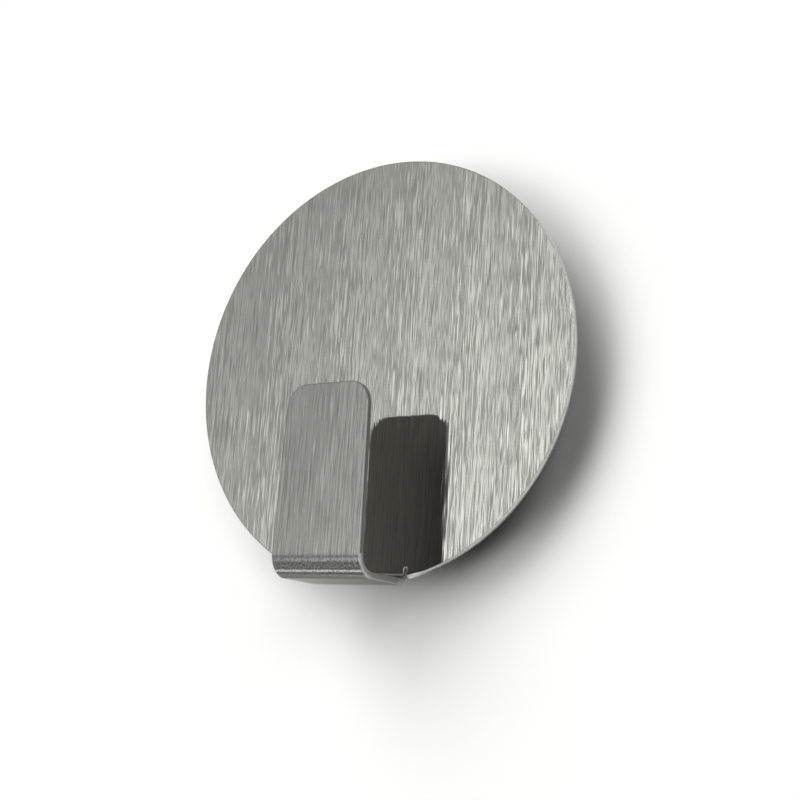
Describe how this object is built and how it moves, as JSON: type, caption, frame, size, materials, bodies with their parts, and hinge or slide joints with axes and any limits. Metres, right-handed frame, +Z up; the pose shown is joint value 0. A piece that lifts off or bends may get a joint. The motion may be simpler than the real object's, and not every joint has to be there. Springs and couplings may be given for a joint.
{
  "type": "magnetic hook",
  "caption": "Round brushed steel plate with a tongue folded into a flat upright hook, held to a steel surface by disc magnets in a moulded tray behind a rubber grip pad.",
  "frame": {"origin": "centre of the grip pad's rear face, the face that lies on the steel surface", "axes": "+Z up, +Y into the surface that the hook hangs on, the hook itself towards -Y, +X to the right as seen from the front"},
  "size_m": [0.06, 0.0178, 0.0602],
  "materials": {
    "plate_steel": "brushed stainless steel, grain running up the plate and round the folds",
    "tape_foam": "off-white foam tape, seen only at its edge",
    "tray_plastic": "black moulded plastic with a fine satin grain",
    "magnet_nickel": "nickel-plated disc magnet",
    "pad_rubber": "matt dark rubber"
  },
  "bodies": {
    "root": {"hook_plate": "plate_steel", "foam_tape": "tape_foam", "magnet_tray": "tray_plastic", "magnet_1": "magnet_nickel", "magnet_2": "magnet_nickel", "magnet_3": "magnet_nickel", "magnet_4": "magnet_nickel", "magnet_5": "magnet_nickel", "magnet_6": "magnet_nickel", "grip_pad": "pad_rubber"}
  },
  "joints": []
}
